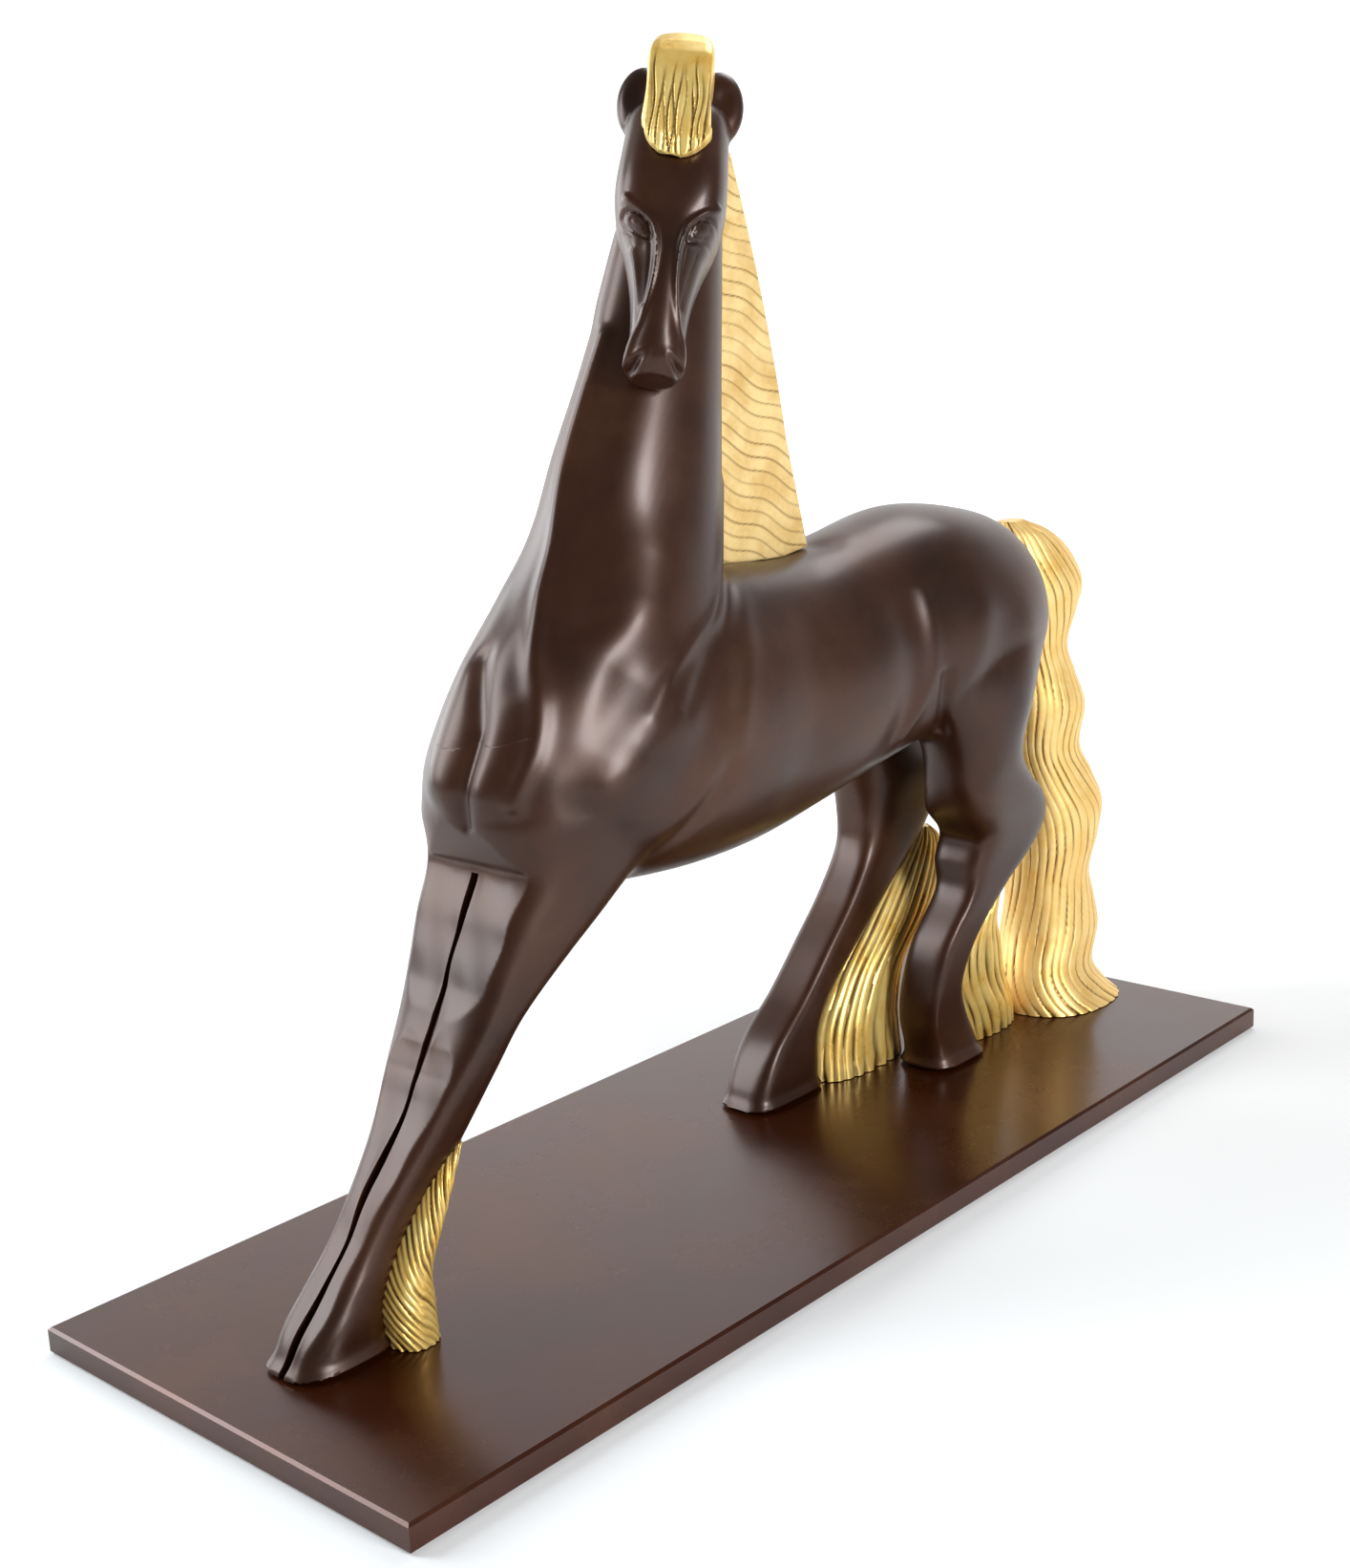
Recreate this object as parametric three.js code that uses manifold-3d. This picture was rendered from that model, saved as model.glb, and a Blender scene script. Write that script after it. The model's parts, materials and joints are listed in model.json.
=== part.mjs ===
// A striding horse cast in bronze, with gilded mane, forelock, tail and fetlock feathers, on a flat bronze plate.
// Millimetres, +Z up, +X the way the horse strides, +Y its left side. The origin is the centre of the plate's underside.
// The horse itself is drawn from the plate's top face up, and lifted onto the plate at the end.
import * as THREE from "three";
import { ParametricGeometry } from "three/addons/geometries/ParametricGeometry.js";
import { mergeVertices } from "three/addons/utils/BufferGeometryUtils.js";
import Module from "manifold-3d";

const wasm = await Module();
wasm.setup();

// Driving dimensions
const plate = { length: 410, width: 150, thick: 8, edge: 0.8 };
const joint = 0.3; // width of the gap at every joint between two pieces
const slot = 1.6; // width of the slot between the two forelegs
const wall = 5; // thickness of the torso's and the neck's castings, which are hollow
const screw = { shank: 2.5, head: 4.75, headDeep: 2.6, rim: 0.4, sunk: 0.4, reach: 9, clearance: 0.3, sides: 14 };
const mane = { thick: 4, round: 0.8 };
const forelock = { width: 18.5, round: 2.2, taperFrom: 5, taperSlope: 0.6 };
const ear = { front: 3, out: 10.6, up: 10.5, halfDepth: 4.5, halfWidth: 7.3, halfHeight: 11.5 };

// Places on the plate, from its centre, of the screws that hold the horse down
const screwPlaces = {
  left_fore_screw: [165, 5.6],
  right_fore_screw: [165, -5.6],
  left_hind_screw: [-98.5, 10],
  right_hind_screw: [-37, -17],
  tail_screw: [-175, 6],
};

const bronze = new THREE.MeshStandardMaterial({ color: 0x3a2a22, roughness: 0.35, metalness: 0.9 });
const plateBronze = new THREE.MeshStandardMaterial({ color: 0x4a3022, roughness: 0.4, metalness: 0.9 });
const gold = new THREE.MeshStandardMaterial({ color: 0xe0ab3a, roughness: 0.3, metalness: 1 });
const steel = new THREE.MeshStandardMaterial({ color: 0x9a9a9a, roughness: 0.4, metalness: 1 });

// The directions that sections are drawn in: the section's two axes, the way the stations run, and where from.
const X = new THREE.Vector3(1, 0, 0);
const Y = new THREE.Vector3(0, 1, 0);
const Z = new THREE.Vector3(0, 0, 1);
const level = { first: X, second: Y, along: Z, from: new THREE.Vector3() };
const upright = { first: Y, second: Z, along: X, from: new THREE.Vector3() };

// The head's own directions: first is where the forehead looks, second its left, along runs from poll to muzzle.
const poll = new THREE.Vector3(11, 2, 306);
const headPose = new THREE.Quaternion().setFromEuler(new THREE.Euler(
  THREE.MathUtils.degToRad(-7), THREE.MathUtils.degToRad(-26.3), THREE.MathUtils.degToRad(43), "ZYX"));
const turned = (v) => v.clone().applyQuaternion(headPose);
const headAxes = { first: turned(X), second: turned(Y), along: turned(Z).negate(), from: poll };

// Sections are rows of [place along, centre on first, centre on second, half on first, half on second, squareness].
const shapes = {
  torso: {
    axes: upright,
    rows: [
      [-154, 0, 152, 9, 11, 2],
      [-149, 0, 152, 20, 22, 2],
      [-138, 0, 153, 29.5, 31.5, 2],
      [-120, 0, 154, 35, 36.5, 2.1],
      [-92, 0, 155.5, 36, 38.6, 2.1],
      [-60, 0, 150.5, 33, 39.3, 2.1],
      [-30, 0, 145.5, 33, 39.8, 2.1],
      [0, 0, 144, 34, 43, 2.1],
      [30, 0, 144, 36, 43.5, 2.1],
      [60, 0, 144, 36, 41, 2.1],
      [84, 0, 142, 33, 37, 2.1],
      [101, 0, 139, 26.5, 28.5, 2.1],
      [110, 0, 138, 16, 18, 2],
    ],
  },
  neck: {
    axes: level,
    rows: [
      [128, 62, 0, 46, 33, 2],
      [140, 63, 0, 48.9, 35.2, 2],
      [155, 59, 0, 46.6, 33.5, 2],
      [170, 53, 0, 42.6, 30.7, 2],
      [186, 45, 0, 37.1, 26.7, 2],
      [202, 37.6, 0, 31.9, 23, 2],
      [223, 31.9, 0, 28.6, 20.6, 2],
      [245, 25, 0, 24.3, 17.5, 2],
      [265, 19, 0, 20.8, 15, 2],
      [283, 14, 0, 17.8, 13, 2],
      [298, 9, 0, 14.5, 11, 2],
      [308, 6, 0, 9, 7, 2],
    ],
  },
  forelegs: {
    axes: level,
    rows: [
      [0, 166, 0, 17, 10.8, 2.6],
      [4, 165.7, 0, 15.6, 10.8, 2.6],
      [10, 164.6, 0, 12.4, 10.8, 2.7],
      [18, 159, 0, 10, 9.8, 3],
      [28, 149.5, 0, 10.5, 9, 3.2],
      [40, 139.4, 0, 11, 10, 3.4],
      [52, 130.3, 0, 10.7, 12.3, 3.4],
      [66, 121.4, 0, 10.6, 15.8, 3.4],
      [79, 112.8, 0, 10.8, 18.8, 3.4],
      [92, 101.8, 0, 16, 21.5, 3.4],
      [104, 91, 0, 22.4, 24.5, 3.2],
      [118, 79, 0, 29, 28, 2.8],
      [132, 76, 0, 35, 31, 2.4],
    ],
  },
  left_hind_leg: {
    axes: level,
    rows: [
      [0, -100, 10, 15, 10, 2.4],
      [8, -98, 10, 13.5, 9, 2.5],
      [18, -93.8, 10.8, 11.2, 8.6, 3],
      [30, -92.5, 12, 8.7, 8.6, 3.2],
      [45, -99, 12.8, 11, 8.8, 3.2],
      [60, -114.5, 14.3, 12, 8.8, 3.2],
      [70, -126, 15.5, 17, 9.2, 3],
      [80, -130, 17, 18.5, 10.8, 2.8],
      [90, -123, 18.5, 19.5, 12.6, 2.5],
      [100, -111, 20, 19.5, 14, 2.3],
      [112, -104, 21, 19, 15.5, 2.1],
      [134, -106, 20, 30, 17, 2],
      [150, -112, 19, 34, 16, 2],
    ],
  },
  right_hind_leg: {
    axes: level,
    rows: [
      [0, -37.5, -17, 19, 10.5, 2.6],
      [8, -39, -17, 17.5, 10.5, 2.8],
      [20, -44, -17.5, 13.4, 10, 3.2],
      [32, -56.7, -18, 10.3, 9.5, 3.2],
      [46, -72.8, -18.5, 11.5, 9.5, 3.2],
      [60, -89.3, -19, 13.8, 9.5, 3.2],
      [74, -105, -20, 19, 10, 2.8],
      [86, -109, -21, 20, 11.5, 2.5],
      [100, -107, -21.5, 21, 14, 2.2],
      [116, -104, -21, 26, 16, 2.1],
      [134, -107, -20, 31, 17, 2],
      [150, -112, -19, 34, 16, 2],
    ],
  },
  head: {
    axes: headAxes,
    rows: [
      [-11, 1, 0, 9, 10, 2],
      [-5, 2, 0, 14, 14, 2.2],
      [8, 2, -0.2, 17, 15.4, 2.4],
      [20, 2, -0.5, 18.5, 15.6, 2.5],
      [30, 2, -0.7, 17.5, 13.8, 2.5],
      [40, 3, -0.8, 15, 10.4, 2.5],
      [50, 4, -1, 13, 8.4, 2.4],
      [61, 5, -1.2, 11, 7.7, 2.3],
      [69, 5, -1.4, 9, 8.4, 2.3],
      [73, 5, -1.4, 5.5, 6, 2],
    ],
  },
  tail: {
    axes: level,
    between: 1,
    rows: [
      [0, -176, 6, 26, 24, 2.3],
      [5, -173.5, 6, 23.5, 20, 2.3],
      [14, -172, 6, 20, 16, 2.2],
      [27, -177, 5, 20, 16.5, 2.2],
      [38, -177, 5, 18.5, 15, 2.2],
      [49, -176, 5, 17, 14, 2.2],
      [62, -179, 5, 18.5, 15.5, 2.2],
      [74, -181, 5, 19, 16, 2.2],
      [86, -178, 4.5, 17, 14, 2.2],
      [97, -174, 4, 15, 12.5, 2.2],
      [112, -174.5, 3, 17.5, 15, 2.2],
      [124, -172, 2.5, 16, 13, 2.2],
      [135, -169.5, 2, 15, 12, 2.2],
      [147, -172, 1, 18.5, 14.5, 2.2],
      [157, -173.5, 1, 20, 15.5, 2.2],
      [168, -170, 0, 18, 14, 2.2],
      [176, -165.5, 0, 13, 10, 2],
      [181, -160, 0, 6, 4, 2],
    ],
  },
  left_fore_feather: {
    axes: level,
    rows: [
      [0, 148, 9.6, 7, 8.8, 2.4],
      [10, 148, 9.4, 7, 8.3, 2.4],
      [20, 146, 9, 6, 7.2, 2.3],
      [32, 138, 8.3, 5, 6, 2.3],
      [42, 131, 8, 3.5, 4.5, 2.2],
      [48, 126, 8, 2, 3, 2],
    ],
  },
  left_hind_feather: {
    axes: level,
    rows: [
      [0, -130.5, 3, 18.5, 10, 2.3],
      [10, -127, 4, 19, 10, 2.3],
      [22, -121, 5, 19, 9.5, 2.3],
      [34, -118.5, 6.5, 18, 9, 2.3],
      [44, -119, 9, 12, 7.5, 2.2],
      [54, -124, 12, 6, 5, 2],
    ],
  },
  right_hind_feather: {
    axes: level,
    rows: [
      [0, -78, -16, 24, 14, 2.4],
      [10, -78, -16, 23, 13.5, 2.4],
      [20, -80, -16, 21.5, 13, 2.3],
      [34, -88, -16, 19, 12, 2.3],
      [48, -105, -16, 20, 10.5, 2.3],
      [60, -117, -16.5, 16, 8.5, 2.2],
      [69, -124, -17, 9, 6, 2],
      [74, -127, -17, 3, 3, 2],
    ],
  },
};

// A mirrored copy of a level shape's rows, for the horse's other side
const mirrored = ({ axes, rows }) => ({ axes, rows: rows.map(([s, a, b, ...rest]) => [s, a, -b, ...rest]) });
shapes.right_fore_feather = mirrored(shapes.left_fore_feather);

// A closed body drawn through its sections, with both ends flat. grow makes it fatter all round.
function loft({ axes, rows, between = 2 }, grow = 0, around = 18) {
  const centres = new THREE.CatmullRomCurve3(
    rows.map(([s, a, b]) => new THREE.Vector3(a, b, s)), false, "catmullrom");
  const halves = new THREE.CatmullRomCurve3(
    rows.map(([, , , a, b, n]) => new THREE.Vector3(a, b, n)), false, "catmullrom");
  const rings = (rows.length - 1) * between;
  const point = (u, v, target) => {
    const ring = Math.round(v * (rings + 2)) - 1;
    const t = THREE.MathUtils.clamp(ring / rings, 0, 1);
    const isEnd = ring < 0 || ring > rings;
    const centre = centres.getPoint(t);
    const half = halves.getPoint(t);
    const angle = 2 * Math.PI * u;
    const round = (x) => Math.sign(x) * Math.abs(x) ** (2 / half.z);
    const a = isEnd ? 0 : (half.x + grow) * round(Math.cos(angle));
    const b = isEnd ? 0 : (half.y + grow) * round(Math.sin(angle));
    const along = centre.z + (t === 0 ? -grow : 0) + (t === 1 ? grow : 0);
    target.copy(axes.from)
      .addScaledVector(axes.first, centre.x + a)
      .addScaledVector(axes.second, centre.y + b)
      .addScaledVector(axes.along, along);
  };
  return solid(new ParametricGeometry(point, around, rings + 2));
}

// A three.js geometry as a manifold solid, with its shared corners merged and its faces pointing out
function solid(geometry) {
  const bare = new THREE.BufferGeometry().setAttribute("position", geometry.getAttribute("position"));
  if (geometry.index) bare.setIndex(geometry.index);
  const merged = mergeVertices(bare, 1e-3);
  const triVerts = new Uint32Array(merged.index.array);
  const make = () => new wasm.Manifold(
    new wasm.Mesh({ numProp: 3, vertProperties: merged.attributes.position.array, triVerts }));
  const first = make();
  if (first.volume() > 0) return first;
  for (let i = 0; i < triVerts.length; i += 3) {
    [triVerts[i + 1], triVerts[i + 2]] = [triVerts[i + 2], triVerts[i + 1]];
  }
  return make();
}

// A manifold solid as a named three.js mesh
function mesh(name, body, material) {
  const { vertProperties, triVerts } = body.getMesh();
  const geometry = new THREE.BufferGeometry();
  geometry.setAttribute("position", new THREE.BufferAttribute(vertProperties, 3));
  geometry.setIndex(new THREE.BufferAttribute(triVerts, 1));
  geometry.computeVertexNormals();
  const made = new THREE.Mesh(geometry, material);
  made.name = name;
  return made;
}

// The largest of the separate bodies in a solid: what is left beside it is offcut.
const largest = (body) => body.decompose().reduce((best, each) => (each.volume() > best.volume() ? each : best));

// A piece fitted against its neighbours, each grown by the joint's width
const seated = (body, ...neighbours) => largest(neighbours.reduce((rest, grown) => rest.subtract(grown), body));
const grown = (name) => loft(shapes[name], joint);

// The part of a body on the side that the normal points to, half a joint away from the plane through a point
function beyond(body, normal, point) {
  const unit = new THREE.Vector3(...normal).normalize();
  return body.trimByPlane(unit.toArray(), unit.dot(new THREE.Vector3(...point)) + joint / 2);
}
const opposite = (normal) => normal.map((v) => -v);

// The horse's casting joints, as a normal and a point on each plane. The collar runs from the withers down to
// the chest, and the knees' flat fronts end at the shoulder joint.
const collar = { normal: [0.364, 0, 0.931], point: [2, 0, 193] };
const shoulder = { normal: [-1, 0, 3], point: [112, 0, 119] };
const thigh = { normal: [0.2, 0, 1], point: [-130, 0, 118] };
const girth = { normal: [1, 0, 0], point: [20, 0, 0] };

// The body's castings. The hollow left by the casting core runs from the rump up into the neck, and opens at
// the collar joint.
const whole = ["torso", "neck", "forelegs", "left_hind_leg", "right_hind_leg"]
  .map((name) => loft(shapes[name]))
  .reduce((body, part) => body.add(part))
  .subtract(loft(shapes.torso, -wall, 12))
  .subtract(loft(shapes.neck, -wall, 12));
const below = beyond(whole, opposite(collar.normal), collar.point);
const neck = largest(beyond(whole, collar.normal, collar.point));
const torso = largest(beyond(beyond(below, shoulder.normal, shoulder.point), thigh.normal, thigh.point));
const fore = beyond(beyond(below, opposite(shoulder.normal), shoulder.point), girth.normal, girth.point);
const hind = beyond(beyond(below, opposite(thigh.normal), thigh.point), opposite(girth.normal), girth.point);
const half = (body, side, gap) => largest(body.trimByPlane([0, side, 0], gap / 2));

// The head's casting, with a rounded ear each side of the forelock
const place = (first, second, along) => poll.clone()
  .addScaledVector(headAxes.first, first)
  .addScaledVector(headAxes.second, second)
  .addScaledVector(headAxes.along, along);
function earAt(side) {
  const shape = new THREE.SphereGeometry(1, 14, 8);
  shape.scale(ear.halfDepth, ear.halfWidth, ear.halfHeight);
  shape.applyQuaternion(headPose);
  shape.translate(...place(ear.front, side * ear.out, -ear.up));
  return solid(shape);
}

// The forelock: a strap of hair that rises behind the poll, arches over it and hangs to a narrow end on the forehead
function forelockBody(grow = 0) {
  const side = new THREE.Shape();
  side.moveTo(-9, 6);
  side.lineTo(-11, -8);
  side.bezierCurveTo(-11, -23, -6, -31.5, 2, -31.5);
  side.bezierCurveTo(11, -31.5, 19, -25, 21.5, -12);
  side.quadraticCurveTo(23.5, -3, 23, 9);
  side.lineTo(21.5, 14);
  side.lineTo(12, 14);
  side.closePath();
  const strap = new THREE.ExtrudeGeometry(side, {
    depth: forelock.width - 2 * forelock.round,
    bevelSize: forelock.round + grow,
    bevelOffset: -forelock.round,
    bevelThickness: forelock.round + grow,
    bevelSegments: 2,
    curveSegments: 6,
  });
  strap.translate(0, 0, forelock.round - forelock.width / 2);
  const axes = new THREE.Matrix4().makeBasis(headAxes.first, headAxes.along, headAxes.second).setPosition(poll);
  strap.applyMatrix4(axes);
  const narrowed = (body, side) => beyond(
    body,
    headAxes.along.clone().multiplyScalar(-forelock.taperSlope).addScaledVector(headAxes.second, -side),
    place(0, side * (forelock.width / 2 + grow), forelock.taperFrom));
  return narrowed(narrowed(solid(strap), 1), -1);
}
const lock = seated(forelockBody(), grown("head"), grown("neck"));
const ears = earAt(1).add(earAt(-1)).subtract(forelockBody(joint));
const head = largest(loft(shapes.head).add(ears).subtract(grown("neck")));

// The mane: a thin fin that stands along the back of the neck, from the poll to the withers
function maneBody() {
  const side = new THREE.Shape();
  side.moveTo(8, 306);
  side.lineTo(-12.4, 305);
  side.quadraticCurveTo(-27.5, 259.5, -34, 220.8);
  side.lineTo(-42.8, 186.4);
  side.lineTo(-40, 184);
  side.lineTo(8, 180);
  side.closePath();
  const fin = new THREE.ExtrudeGeometry(side, {
    depth: mane.thick - 2 * mane.round,
    bevelSize: mane.round,
    bevelOffset: -mane.round,
    bevelThickness: mane.round,
    bevelSegments: 2,
    curveSegments: 8,
  });
  fin.rotateX(Math.PI / 2);
  fin.translate(0, mane.thick / 2 - mane.round, 0);
  return solid(fin);
}
const maneFin = seated(
  maneBody(), grown("neck"), grown("torso"), grown("head"), forelockBody(joint),
  earAt(1).add(earAt(-1)));

// The tail and the feathers, each fitted to the castings that it lies against
const gilded = {
  tail: ["torso", "left_hind_leg", "right_hind_leg"],
  left_fore_feather: ["forelegs"],
  right_fore_feather: ["forelegs"],
  left_hind_feather: ["left_hind_leg", "right_hind_feather", "tail"],
  right_hind_feather: ["right_hind_leg", "left_hind_leg", "tail"],
};

// A countersunk screw standing in the plate with its point in the casting above. grow makes its hole.
function screwBody([x, y], grow = 0) {
  const foot = grow > 0 ? -1 : screw.sunk;
  const neckHeight = screw.sunk + screw.headDeep;
  const top = plate.thick + joint + screw.reach;
  const outline = [
    [0, foot],
    [screw.head + grow, foot],
    [screw.head + grow, screw.sunk + screw.rim],
    [screw.shank + grow, neckHeight],
    [screw.shank + grow, top - screw.shank / 2],
    [screw.shank / 2 + grow, top + grow],
    [0, top + grow],
  ].map(([radius, height]) => new THREE.Vector2(radius, height));
  const turnedBody = new THREE.LatheGeometry(outline, screw.sides);
  turnedBody.rotateX(Math.PI / 2);
  turnedBody.translate(x, y, 0);
  return solid(turnedBody);
}
const lift = plate.thick + joint;
const holes = Object.values(screwPlaces).map((at) => screwBody(at, screw.clearance));
const tapped = (body) => holes.reduce((rest, hole) => rest.subtract(hole), body);
const standing = (body) => largest(tapped(body.translate(0, 0, lift)));

// The plate, with its edges eased and the screws' countersunk holes through it
function plateBody() {
  const halfLength = plate.length / 2 - plate.edge;
  const halfWidth = plate.width / 2 - plate.edge;
  const outline = new THREE.Shape([
    new THREE.Vector2(-halfLength, -halfWidth), new THREE.Vector2(halfLength, -halfWidth),
    new THREE.Vector2(halfLength, halfWidth), new THREE.Vector2(-halfLength, halfWidth),
  ]);
  const slab = new THREE.ExtrudeGeometry(outline, {
    depth: plate.thick - 2 * plate.edge,
    bevelSize: plate.edge,
    bevelThickness: plate.edge,
    bevelSegments: 1,
  });
  slab.translate(0, 0, plate.edge);
  return tapped(solid(slab));
}

const statue = new THREE.Group();
statue.add(mesh("base_plate", plateBody(), plateBronze));
const castings = {
  torso,
  neck,
  head,
  left_foreleg: half(fore, 1, slot),
  right_foreleg: half(fore, -1, slot),
  left_hind_leg: half(hind, 1, 0),
  right_hind_leg: half(hind, -1, 0),
};
for (const [name, body] of Object.entries(castings)) statue.add(mesh(name, standing(body), bronze));
statue.add(mesh("mane", standing(maneFin), gold));
statue.add(mesh("forelock", standing(lock), gold));
for (const [name, neighbours] of Object.entries(gilded)) {
  const body = seated(loft(shapes[name]), ...neighbours.map(grown));
  statue.add(mesh(name, standing(body), gold));
}
for (const [name, at] of Object.entries(screwPlaces)) statue.add(mesh(name, screwBody(at), steel));
export default statue;
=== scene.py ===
import json
import math

import bpy
import numpy as np
from mathutils import Euler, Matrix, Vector

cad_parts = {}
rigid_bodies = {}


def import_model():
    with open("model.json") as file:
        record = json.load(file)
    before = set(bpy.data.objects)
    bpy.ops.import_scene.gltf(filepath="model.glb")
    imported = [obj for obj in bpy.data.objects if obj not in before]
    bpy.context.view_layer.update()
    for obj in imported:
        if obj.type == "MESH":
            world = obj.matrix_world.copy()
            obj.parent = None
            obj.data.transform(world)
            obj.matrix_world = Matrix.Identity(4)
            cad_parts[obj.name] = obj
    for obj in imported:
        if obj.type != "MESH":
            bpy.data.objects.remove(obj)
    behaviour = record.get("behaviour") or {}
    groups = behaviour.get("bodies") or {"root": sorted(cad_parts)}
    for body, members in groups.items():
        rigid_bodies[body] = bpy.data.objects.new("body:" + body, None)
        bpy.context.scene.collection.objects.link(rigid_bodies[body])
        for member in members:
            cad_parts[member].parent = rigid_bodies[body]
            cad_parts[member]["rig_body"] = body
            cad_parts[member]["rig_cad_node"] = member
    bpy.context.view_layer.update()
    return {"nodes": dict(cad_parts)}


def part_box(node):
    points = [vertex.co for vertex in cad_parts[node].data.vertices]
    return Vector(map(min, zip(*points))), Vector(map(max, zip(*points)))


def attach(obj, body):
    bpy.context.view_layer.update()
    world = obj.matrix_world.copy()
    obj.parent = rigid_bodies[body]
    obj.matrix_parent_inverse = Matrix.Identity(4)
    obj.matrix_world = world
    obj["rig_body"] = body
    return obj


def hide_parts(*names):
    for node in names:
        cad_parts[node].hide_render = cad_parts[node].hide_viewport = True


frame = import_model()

mm = 0.001
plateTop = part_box("base_plate")[1].z
ground = plateTop + 0.3 * mm    # the casting stands on a thin joint above the plate


# ---- tools used by every piece

def only(piece):
    bpy.ops.object.select_all(action="DESELECT")
    piece.select_set(True)
    bpy.context.view_layer.objects.active = piece


def readPoints(piece):
    flat = np.empty(len(piece.data.vertices) * 3, np.float32)
    piece.data.vertices.foreach_get("co", flat)
    return flat.reshape(-1, 3).astype(float)


def readNormals(piece):
    flat = np.empty(len(piece.data.vertices) * 3, np.float32)
    piece.data.vertex_normals.foreach_get("vector", flat)
    return flat.reshape(-1, 3).astype(float)


def movePoints(piece, places):
    piece.data.vertices.foreach_set("co", places.astype(np.float32).ravel())
    piece.data.update()


def paint(piece, name, values):
    # a value for each vertex that a material can read
    layer = piece.data.attributes.get(name) or piece.data.attributes.new(name, "FLOAT", "POINT")
    layer.data.foreach_set("value", values.astype(np.float32))


def finishWith(piece, kind, **settings):
    only(piece)
    modifier = piece.modifiers.new(kind.title(), kind)
    for key, value in settings.items():
        setattr(modifier, key, value)
    bpy.ops.object.modifier_apply(modifier=modifier.name)


def smoothWhere(piece, weights, passes):
    # smooths only where the weights say, in equal grades
    count = 16
    group = piece.vertex_groups.new(name="soft")
    grades = np.round(weights * count).astype(int)
    for grade in range(1, count + 1):
        group.add(np.nonzero(grades == grade)[0].tolist(), grade / count, "REPLACE")
    finishWith(piece, "SMOOTH", factor=0.5, iterations=passes, vertex_group="soft")
    piece.vertex_groups.clear()


def through(rows, t):
    # a smooth curve through the stations, t from 0 at the first to 1 at the last
    p = np.array(rows, float)
    p = np.vstack([2 * p[0] - p[1], p, 2 * p[-1] - p[-2]])
    s = np.clip(t, 0, 1) * (len(rows) - 1)
    i = np.minimum(s.astype(int), len(rows) - 2)
    f = (s - i)[:, None]
    a, b, c, d = p[i], p[i + 1], p[i + 2], p[i + 3]
    return b + 0.5 * f * (c - a + f * (2 * a - 5 * b + 4 * c - d + f * (3 * (b - c) + d - a)))


def step(value, low, high):
    t = np.clip((value - low) / (high - low), 0, 1)
    return t * t * (3 - 2 * t)


def axesOf(start, first, second, along):
    return [np.array(v, float) for v in (start, first, second, along)]


upright = axesOf((0, 0, ground), (0, 1, 0), (0, 0, 1), (1, 0, 0))
level = axesOf((0, 0, ground), (1, 0, 0), (0, 1, 0), (0, 0, 1))
pollPlace = (11, 2, 306)
headTurn = Euler([math.radians(a) for a in (-7, -26.3, 43)], "XYZ").to_matrix()
headAxes = axesOf(Vector(pollPlace) * mm + Vector((0, 0, ground)),
                  headTurn.col[0], headTurn.col[1], -headTurn.col[2])


def loft(name, rows, axes, sides, rings, squarer=1.0, relief=None, capRings=3):
    # A ball is drawn out along its stations: each of its rings becomes one section.
    # A row is: along, centre first, centre second, half first, half second, squareness.
    bpy.ops.object.select_all(action="DESELECT")
    bpy.ops.mesh.primitive_uv_sphere_add(segments=sides, ring_count=rings, radius=1)
    piece = bpy.context.object
    piece.name = name
    ball = readPoints(piece)
    turn = np.arctan2(ball[:, 1], ball[:, 0])
    ring = np.arccos(np.clip(-ball[:, 2], -1, 1)) / math.pi * rings
    share = np.clip((ring - capRings) / (rings - 2 * capRings), 0, 1)
    cap = np.clip(ring / capRings, 0, 1) * np.clip((rings - ring) / capRings, 0, 1)
    table = np.linspace(0, 1, 600)
    heights = np.maximum.accumulate(through(rows, table)[:, 0] + table * 1e-6)
    t = np.interp(heights[0] + (heights[-1] - heights[0]) * share, heights, table)
    along, midFirst, midSecond, halfFirst, halfSecond, square = through(rows, t).T
    blunt = 2 + (square - 2) * squarer
    keep = 0.5 ** (1 / square) / 0.5 ** (1 / blunt)     # the corner stays where it was
    power = 2 / blunt
    first = halfFirst * keep * cap * np.sign(np.cos(turn)) * np.abs(np.cos(turn)) ** power
    second = halfSecond * keep * cap * np.sign(np.sin(turn)) * np.abs(np.sin(turn)) ** power
    if relief:
        rise, carve = relief(turn, along, np.sqrt(halfFirst * halfSecond), cap)
        away = np.sqrt(first ** 2 + second ** 2) + 1e-9
        first, second = first * (1 + rise / away), second * (1 + rise / away)
        paint(piece, "carve", carve)
    start, firstWay, secondWay, alongWay = axes
    movePoints(piece, start + mm * (np.outer(midFirst + first, firstWay)
                                    + np.outer(midSecond + second, secondWay)
                                    + np.outer(along, alongWay)))
    only(piece)
    bpy.ops.object.mode_set(mode="EDIT")
    bpy.ops.mesh.select_all(action="SELECT")
    bpy.ops.mesh.remove_doubles(threshold=0.001 * mm)
    bpy.ops.mesh.normals_make_consistent(inside=False)
    bpy.ops.object.mode_set(mode="OBJECT")
    return piece


def joinAll(name, parts):
    only(parts[0])
    for part in parts[1:]:
        part.select_set(True)
    bpy.ops.object.join()
    parts[0].name = name
    return parts[0]


def fuse(piece, grain):
    # overlapping lumps become one even skin
    finishWith(piece, "REMESH", mode="VOXEL", voxel_size=grain, adaptivity=0)
    finishWith(piece, "SMOOTH", factor=0.5, iterations=5)
    return piece


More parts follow.
